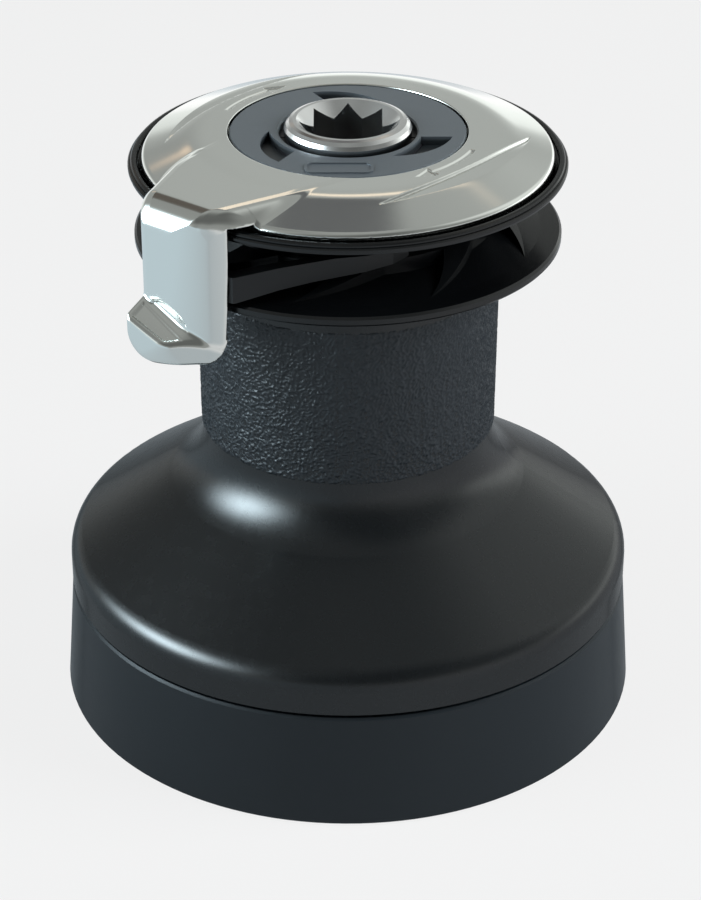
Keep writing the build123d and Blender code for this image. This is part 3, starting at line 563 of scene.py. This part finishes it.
def ridges(across, up, cell, wave):
    """Ridge height from 0 to 1 on a grid that closes on itself."""
    dice = np.random.default_rng(7)
    noise = np.fft.fft2(dice.standard_normal((across, up)))
    pitch = np.hypot(np.fft.fftfreq(across, cell)[:, None], np.fft.fftfreq(up, cell)[None])
    waves = np.real(np.fft.ifft2(noise * np.exp(-(((pitch * wave - 1) / wave_band) ** 2))))
    return np.exp(-((waves / waves.std() / ridge_share) ** 2))


# %% [markdown]
# The sleeve lies just over the neck of the CAD drum, which widens a little
# upwards. Its ridges sink away at both ends, where the neck is left plain.

# %% Shape of the grip
grip_low, grip_high, grip_cell, ridge_wave = 78.2, 121.6, 0.27, 1.75
neck_r, neck_from_z, neck_taper = 38.58, 75.0, 0.006
sleeve_rise, ridge_rise = 0.12, 0.34
across, up = int(2 * pi * 39 / grip_cell), int((grip_high - grip_low) / grip_cell)
height = ridges(across, up, grip_cell, ridge_wave)
turn = np.arange(across)[:, None] * 2 * pi / across
level = np.linspace(grip_low, grip_high, up)[None]
edge = np.minimum(level - grip_low, grip_high - level)
rise = (sleeve_rise + ridge_rise * height) * fade(edge, -0.1, 0.5)
radius = neck_r + (level - neck_from_z) * neck_taper + rise
print("grip radius", round(radius.min(), 2), "to", round(radius.max(), 2), "mm")

# %% Make the grip
grid = np.stack([radius * np.cos(turn), radius * np.sin(turn), level + 0 * turn], -1).reshape(-1, 3)
first = (np.arange(across)[:, None] * up + np.arange(up - 1)[None]).ravel()
after = (first + up) % (across * up)
grip = mesh_piece("drum_grip", grid, np.stack([first, after, after + 1, first + 1], 1))
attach(grip, "drum")

# %% [markdown]
# ## Shader nodes
# A material in Blender is a small graph. These helpers add a node with its
# inputs set, make a smooth step from one value to another, and join outputs
# to inputs.


# %% Node helpers
def add(tree, kind, **values):
    """New shader node, with inputs set by name: From_Min sets the input From Min."""
    node = tree.nodes.new("ShaderNode" + kind)
    for name, value in values.items():
        node.inputs[name.replace("_", " ")].default_value = value
    return node


def maths(tree, operation):
    """New node that works on numbers."""
    node = add(tree, "Math")
    node.operation = operation
    return node


def blend_of(tree, low, high, low_value, high_value):
    """Node that fades smoothly from one value to another."""
    node = add(tree, "MapRange", From_Min=low, From_Max=high, To_Min=low_value, To_Max=high_value)
    node.interpolation_type = "SMOOTHSTEP"
    return node


def link(tree, *pairs):
    """Joins outputs to inputs."""
    for output, target in pairs:
        tree.links.new(output, target)


def new_tree(owner):
    """Switches an owner to nodes and hands back its graph."""
    owner.use_nodes = True
    return owner.node_tree


# %% [markdown]
# ## Finishes
# Real metal and paint are never quite even. One helper makes every finish:
# a cloudy noise varies the gloss by a little, and a finer one raises a slight
# grain through a bump. Both are worked out from the place on the object, so
# they need no picture and no unwrapping.
#
# Any glossy surface turns bright where it curves out of sight, and in this
# pale room that gives black parts a white outline. The edge value holds it
# back. That is a choice made for the look and not something paint does.

# %% Finish helper
finishes = {}
cloud_scale, grain_depth = 300.0, 0.1 * MM
edge_from, edge_to = 0.2, 0.75


def fade_sheen(tree, shader, specular, edge):
    """Lets the sheen go from specular, face on, to edge at the outline."""
    facing_away = add(tree, "LayerWeight", Blend=0.5)
    sheen = add(
        tree, "MapRange", From_Min=edge_from, From_Max=edge_to, To_Min=specular, To_Max=edge
    )
    link(
        tree,
        (facing_away.outputs["Facing"], sheen.inputs["Value"]),
        (sheen.outputs["Result"], shader.inputs["Specular IOR Level"]),
    )


def finish(
    name, color, metallic=0.0, roughness=0.4, vary=0.03,
    specular=0.5, edge=None, grain=0.1, grain_scale=2500.0,
):
    """Makes a finish and keeps it under its name."""
    material = bpy.data.materials.new(name)
    tree = new_tree(material)
    shader = tree.nodes["Principled BSDF"]
    shader.inputs["Base Color"].default_value = (*color, 1.0)
    shader.inputs["Metallic"].default_value = metallic
    shader.inputs["Specular IOR Level"].default_value = specular
    place = add(tree, "TexCoord")
    cloud = add(tree, "TexNoise", Scale=cloud_scale)
    gloss = add(tree, "MapRange", To_Min=roughness - vary, To_Max=roughness + vary)
    fine = add(tree, "TexNoise", Scale=grain_scale)
    bump = add(tree, "Bump", Strength=grain, Distance=grain_depth)
    link(
        tree,
        (place.outputs["Object"], cloud.inputs["Vector"]),
        (cloud.outputs["Fac"], gloss.inputs["Value"]),
        (gloss.outputs["Result"], shader.inputs["Roughness"]),
        (place.outputs["Object"], fine.inputs["Vector"]),
        (fine.outputs["Fac"], bump.inputs["Height"]),
        (bump.outputs["Normal"], shader.inputs["Normal"]),
    )
    if edge is not None:
        fade_sheen(tree, shader, specular, edge)
    finishes[name] = material


# %% [markdown]
# ### Black parts
# The base is satin and faintly blue. The drum has the look of hard anodising,
# with a long soft highlight. The crowns are smoother, and the ridges of the
# grip are greyer and rougher.

# %% Black finishes
finish("base_black", (0.013, 0.0175, 0.0215), roughness=0.33, specular=0.24, edge=0.02, grain=0.12)
finish("drum_black", (0.003, 0.0044, 0.0056), roughness=0.27, specular=0.46, edge=0.02)
finish("crown_black", (0.003, 0.0035, 0.004), roughness=0.2, specular=0.4, edge=0.05, grain=0.05)
finish("grip_black", (0.02, 0.025, 0.03), roughness=0.38, specular=0.32, edge=0.08, grain=0.2)
finish("stripper_grey", (0.006, 0.0066, 0.0075), roughness=0.35, specular=0.35, grain=0.15)
print("so far:", ", ".join(finishes))

# %% [markdown]
# ### Metals
# A metal's colour tints its reflections, so it is light, and the gloss does
# the rest. The feeder is polished: its grain is very faint and wide, like the
# waves that a buffing wheel leaves. Gears and pins are left as machined.

# %% Metal finishes
finish("polished_steel", (0.68, 0.69, 0.665), 1.0, 0.11, 0.02, grain=0.012, grain_scale=900.0)
finish("spindle_steel", (0.6, 0.6, 0.6), 1.0, 0.2, grain=0.03)
finish("bright_steel", (0.6, 0.6, 0.61), 1.0, 0.25)
finish("gear_steel", (0.4, 0.4, 0.41), 1.0, 0.35)
finish("stem_alloy", (0.55, 0.56, 0.58), 1.0, 0.4, grain=0.2)
finish("bronze", (0.6, 0.38, 0.17), 1.0, 0.35, grain=0.2)

# %% [markdown]
# ### Plastics and rubber
# These are matt, and plain enough to need no more than the helper gives.

# %% Plastic and rubber finishes
cap_tone = (0.1, 0.118, 0.132)
finish("cap_grey", cap_tone, roughness=0.42, grain=0.2)
finish("cage_plastic", (0.04, 0.04, 0.045), roughness=0.45)
finish("seal_rubber", (0.012, 0.012, 0.012), roughness=0.7)
print(len(finishes), "finishes")

# %% [markdown]
# ### Darker pockets in the cap
# The three pockets of the real cap look almost black, because little light
# reaches their floors. The CAD pockets are shallow and catch more of it, so
# the cap's colour darkens with depth to make up for that. It could be painted
# by hand, but a colour that follows the height needs no picture.

# %% Pockets of the cap
pocket_tone = (0.02, 0.024, 0.027)
pocket_dark_z, pocket_rim_z = 158.2, 159.2
tree = finishes["cap_grey"].node_tree
place, axes = add(tree, "TexCoord"), add(tree, "SeparateXYZ")
depth = add(tree, "MapRange", From_Min=pocket_dark_z * MM, From_Max=pocket_rim_z * MM)
shade = add(tree, "ValToRGB")
shade.color_ramp.elements[0].color = (*pocket_tone, 1.0)
shade.color_ramp.elements[1].color = (*cap_tone, 1.0)
link(
    tree,
    (place.outputs["Object"], axes.inputs["Vector"]),
    (axes.outputs["Z"], depth.inputs["Value"]),
    (depth.outputs["Result"], shade.inputs["Fac"]),
    (shade.outputs["Color"], tree.nodes["Principled BSDF"].inputs["Base Color"]),
)

# %% [markdown]
# ### Giving each part its finish
# The record names a material slot for every CAD node, and the finishes use
# the same names, so a loop dresses all of them. The two pieces made here are
# dressed by hand: the grip has a finish of its own, greyer than the drum.


# %% Give the finishes
def wear(piece, material):
    """Gives a piece its finish."""
    piece.data.materials.clear()
    piece.data.materials.append(material)


slot_of = {part["node"]: part["material_slot"] for part in frame["record"]["subparts"]}
for name, node in nodes.items():
    wear(node, finishes[slot_of[name]])
wear(feeder, finishes["polished_steel"])
wear(grip, finishes["grip_black"])
print(len(nodes) + 2, "pieces dressed")

# %% [markdown]
# ## The studio floor
# A pale floor runs out to the horizon. A white floor under strong lamps would
# wash out the winch. Instead the lens sees a floor that is mostly lit by
# itself, so it stays even but keeps the winch's shadow. Mirror rays see tones
# of their own, which the polished leg shows: cool at the left, greyer in the
# middle and brighter far away. All other rays meet plain matt grey.


# %% Which rays see what
def seen(tree):
    """The Light Path node, and a value that is one for lens, mirror and glass rays."""
    path = add(tree, "LightPath")
    lens_or_mirror, or_glass = maths(tree, "MAXIMUM"), maths(tree, "MAXIMUM")
    link(
        tree,
        (path.outputs["Is Camera Ray"], lens_or_mirror.inputs[0]),
        (path.outputs["Is Glossy Ray"], lens_or_mirror.inputs[1]),
        (lens_or_mirror.outputs[0], or_glass.inputs[0]),
        (path.outputs["Is Transmission Ray"], or_glass.inputs[1]),
    )
    return path, or_glass.outputs[0]


# %% Floor shaders
backdrop, floor_glow = 0.863, 0.917
floor_material = bpy.data.materials.new("floor")
tree = new_tree(floor_material)
matt = tree.nodes["Principled BSDF"]
matt.inputs["Base Color"].default_value = (0.8, 0.8, 0.8, 1)
matt.inputs["Roughness"].default_value = 1.0
matt.inputs["Specular IOR Level"].default_value = 0.0
glow = add(tree, "Emission", Color=(floor_glow, floor_glow, floor_glow, 1))
lit = add(tree, "MixShader", Fac=0.9)
link(tree, (matt.outputs[0], lit.inputs[1]), (glow.outputs[0], lit.inputs[2]))

# %% Floor in a mirror
place, axes = add(tree, "TexCoord"), add(tree, "SeparateXYZ")
across_floor = add(tree, "MapRange", From_Min=-0.3, From_Max=0.3)
side_tones = add(tree, "ValToRGB")
side_tones.color_ramp.elements[0].color = (0.68, 0.82, 0.9, 1)
side_tones.color_ramp.elements[1].color = (0.84, 0.86, 0.88, 1)
middle = side_tones.color_ramp.elements.new(0.45)
middle.color = (0.54, 0.6, 0.64, 1)
mirrored = add(tree, "Emission")
distant = add(tree, "Emission", Strength=1.25)
away = blend_of(tree, 0.5, 1.6, 0.0, 1.0)
reflected = add(tree, "MixShader")
link(
    tree,
    (place.outputs["Object"], axes.inputs[0]),
    (axes.outputs["X"], across_floor.inputs["Value"]),
    (across_floor.outputs["Result"], side_tones.inputs["Fac"]),
    (side_tones.outputs["Color"], mirrored.inputs["Color"]),
    (axes.outputs["Y"], away.inputs["Value"]),
    (away.outputs["Result"], reflected.inputs["Fac"]),
    (mirrored.outputs[0], reflected.inputs[1]),
    (distant.outputs[0], reflected.inputs[2]),
)

# %% Floor for every ray
to_mirror, to_lens = add(tree, "MixShader"), add(tree, "MixShader")
path, by_eye = seen(tree)
link(
    tree,
    (by_eye, to_mirror.inputs["Fac"]),
    (matt.outputs[0], to_mirror.inputs[1]),
    (reflected.outputs[0], to_mirror.inputs[2]),
    (path.outputs["Is Camera Ray"], to_lens.inputs["Fac"]),
    (to_mirror.outputs[0], to_lens.inputs[1]),
    (lit.outputs[0], to_lens.inputs[2]),
    (to_lens.outputs[0], tree.nodes["Material Output"].inputs["Surface"]),
)

# %% Lay the floor
bpy.ops.mesh.primitive_plane_add(size=60, location=(0, 0, -0.0002))
floor = bpy.context.object
floor.name = "floor"
floor.data.materials.append(floor_material)
print("floor", round(floor.dimensions.x), "m across")

# %% [markdown]
# ## The room
# Polished metal shows the room as much as itself. The walls are pale at eye
# level and a soft grey overhead, as in a studio with a low ceiling. A picture
# of a studio could light it, but a few tones up the wall are easier to tune.

# %% Tones up the wall
world = bpy.data.worlds.new("studio")
scene.world = world
tree = new_tree(world)
place, axes = add(tree, "TexCoord"), add(tree, "SeparateXYZ")
room_ramp = add(tree, "ValToRGB")
room_tones = ((0.0, 0.96), (0.13, 0.93), (0.2, 0.52), (0.3, 0.41), (0.5, 0.43), (0.8, 0.38), (1.0, 0.32))
while len(room_ramp.color_ramp.elements) < len(room_tones):
    room_ramp.color_ramp.elements.new(0.5)
for element, (height_share, tone) in zip(room_ramp.color_ramp.elements, room_tones):
    element.position = height_share
    element.color = (tone * 0.96, tone, tone * 0.97, 1)
print(len(room_tones), "tones up the wall")

# %% [markdown]
# The room isn't the same all round. It is darker behind the lens, brighter at
# the right and a little darker at the left, so the cone shows a slow change
# of tone from side to side.

# %% Light round the room
room = add(tree, "Background")
lean = maths(tree, "MULTIPLY_ADD")
lean.inputs[1].default_value = -0.6
behind = blend_of(tree, -0.9, -0.25, 0.3, 1.0)
right = blend_of(tree, 0.3, 0.7, 1.3, 2.4)
left = blend_of(tree, -0.35, 0.0, 0.75, 1.0)
sides, strength = maths(tree, "MULTIPLY"), maths(tree, "MULTIPLY")
link(
    tree,
    (place.outputs["Generated"], axes.inputs[0]),
    (axes.outputs["Z"], room_ramp.inputs["Fac"]),
    (room_ramp.outputs["Color"], room.inputs["Color"]),
    (axes.outputs["X"], lean.inputs[0]),
    (axes.outputs["Y"], lean.inputs[2]),
    (lean.outputs[0], behind.inputs["Value"]),
    (axes.outputs["X"], right.inputs["Value"]),
    (axes.outputs["X"], left.inputs["Value"]),
    (right.outputs["Result"], sides.inputs[0]),
    (left.outputs["Result"], sides.inputs[1]),
    (behind.outputs["Result"], strength.inputs[0]),
    (sides.outputs[0], strength.inputs[1]),
    (strength.outputs[0], room.inputs["Strength"]),
)

# %% [markdown]
# Mirror rays see the room above, and the lens sees an even backdrop. All
# other rays see a very dim grey, which only lifts the deepest shade. The
# lamps, and the light that the floor throws back, do the lighting.

# %% Room for every ray
plain = tree.nodes["Background"]
plain.inputs["Color"].default_value = (0.05, 0.05, 0.05, 1)
plain.inputs["Strength"].default_value = 0.5
view = add(tree, "Background", Color=(backdrop, backdrop, backdrop, 1))
to_mirror, to_lens = add(tree, "MixShader"), add(tree, "MixShader")
path, by_eye = seen(tree)
link(
    tree,
    (by_eye, to_mirror.inputs["Fac"]),
    (plain.outputs[0], to_mirror.inputs[1]),
    (room.outputs[0], to_mirror.inputs[2]),
    (path.outputs["Is Camera Ray"], to_lens.inputs["Fac"]),
    (to_mirror.outputs[0], to_lens.inputs[1]),
    (view.outputs[0], to_lens.inputs[2]),
    (to_lens.outputs[0], tree.nodes["World Output"].inputs["Surface"]),
)

# %% [markdown]
# ## Lamps
# Two soft boxes light the matt surfaces and throw the soft shadow: a small
# cool one at the left and a stronger one further off at the right. Neither
# shows in mirror rays, because the sharp shape of a lamp would look harsh in
# the polished steel. The reflection cards below give the highlights instead.

# %% Aim at the winch
aim = Vector((0, 0, 0.1))


def facing(azimuth, elevation, distance):
    """Place and turn of something that looks at the winch from a direction in degrees."""
    a, e = radians(azimuth), radians(elevation)
    way = Vector((cos(a) * cos(e), sin(a) * cos(e), sin(e)))
    return aim + way * distance, way.to_track_quat("Z", "Y").to_euler()


# %% Lamps
def soft_box(name, azimuth, elevation, distance, width, height, power, color):
    """Rectangular lamp that lights matt surfaces only."""
    lamp = bpy.data.lights.new(name, "AREA")
    lamp.shape = "RECTANGLE"
    lamp.size, lamp.size_y = width, height
    lamp.energy = power
    lamp.color = color
    piece = bpy.data.objects.new(name, lamp)
    piece.location, piece.rotation_euler = facing(azimuth, elevation, distance)
    piece.visible_camera = piece.visible_glossy = False
    scene.collection.objects.link(piece)
    print(name, power, "W")


soft_box("key", 200, 35, 1.2, 0.8, 0.8, 9.0, (0.86, 0.95, 1.0))
soft_box("fill", 350, 30, 1.6, 1.0, 0.8, 26.0, (0.95, 0.98, 1.0))

# %% [markdown]
# ## Reflection cards
# Glossy parts get their highlights from soft-edged cards out of view, as from
# soft boxes in a studio: a large cool one low at the left, and small warm and
# dark ones over the cone. Only mirror rays see them, and each fades out
# towards its edges so that the highlights have no hard rim.

# %% Glow that fades to nothing
card_reach = 1.6


def card_glow(name, color, strength, soft_edge, fall):
    """Material that glows in the middle of a card and is clear at its edge."""
    material = bpy.data.materials.new(name)
    tree = new_tree(material)
    glow = add(tree, "Emission", Color=(*color, 1), Strength=strength)
    clear, place = add(tree, "BsdfTransparent"), add(tree, "TexCoord")
    from_middle = add(tree, "VectorMath")
    from_middle.operation = "LENGTH"
    cover = blend_of(tree, 1.0 - soft_edge, 1.0, 1.0, 0.0)
    steeper = maths(tree, "POWER")
    steeper.inputs[1].default_value = fall
    shown = add(tree, "MixShader")
    link(
        tree,
        (place.outputs["Object"], from_middle.inputs[0]),
        (from_middle.outputs["Value"], cover.inputs["Value"]),
        (cover.outputs["Result"], steeper.inputs[0]),
        (steeper.outputs[0], shown.inputs["Fac"]),
        (clear.outputs[0], shown.inputs[1]),
        (glow.outputs[0], shown.inputs[2]),
        (shown.outputs[0], tree.nodes["Material Output"].inputs["Surface"]),
    )
    return material


# %% Cards
def card(name, azimuth, elevation, width, height, color, strength, soft_edge=0.3, fall=1.0):
    """Card as wide and high as the given angles, seen from the winch."""
    bpy.ops.mesh.primitive_plane_add(size=2)
    piece = bpy.context.object
    piece.name = name
    piece.location, piece.rotation_euler = facing(azimuth, elevation, card_reach)
    piece.scale = (card_reach * radians(width) / 2, card_reach * radians(height) / 2, 1)
    piece.visible_camera = piece.visible_diffuse = piece.visible_shadow = False
    piece.data.materials.append(card_glow(name, color, strength, soft_edge, fall))
    print(name, width, "by", height, "degrees")


card("sheen_card", 194, 17, 130, 70, (0.76, 0.92, 1.0), 32.0, 1.0, 3.0)
card("warm_card", 88, 50, 52, 8, (1.0, 0.86, 0.7), 1.4, 0.7)
card("warm_side_card", 112, 27, 10, 5, (1.0, 0.8, 0.62), 1.1, 0.7)
card("dark_card", 95, 64, 26, 19, (0.165, 0.17, 0.175), 1.0, 0.35)
card("brown_card", 122, 48, 40, 22, (0.14, 0.125, 0.11), 1.0, 0.35)

# %% [markdown]
# ## The camera
# A long lens from well above shows the top plate and keeps the sides nearly
# upright, as in a catalogue. The small shift centres the winch in the picture
# without turning the camera.

# %% Camera
lens = bpy.data.cameras.new("camera")
lens.lens = 107.14
lens.sensor_width = 36.0
lens.shift_x, lens.shift_y = 0.0028, 0.030
camera = bpy.data.objects.new("camera", lens)
camera.location = (0.0, -0.6285, 0.4219)
camera.rotation_euler = (radians(59.94), 0.0, 0.0)
scene.collection.objects.link(camera)
scene.camera = camera
scene.view_settings.view_transform = "Standard"
print("camera", round((camera.location - aim).length, 3), "m from the winch")
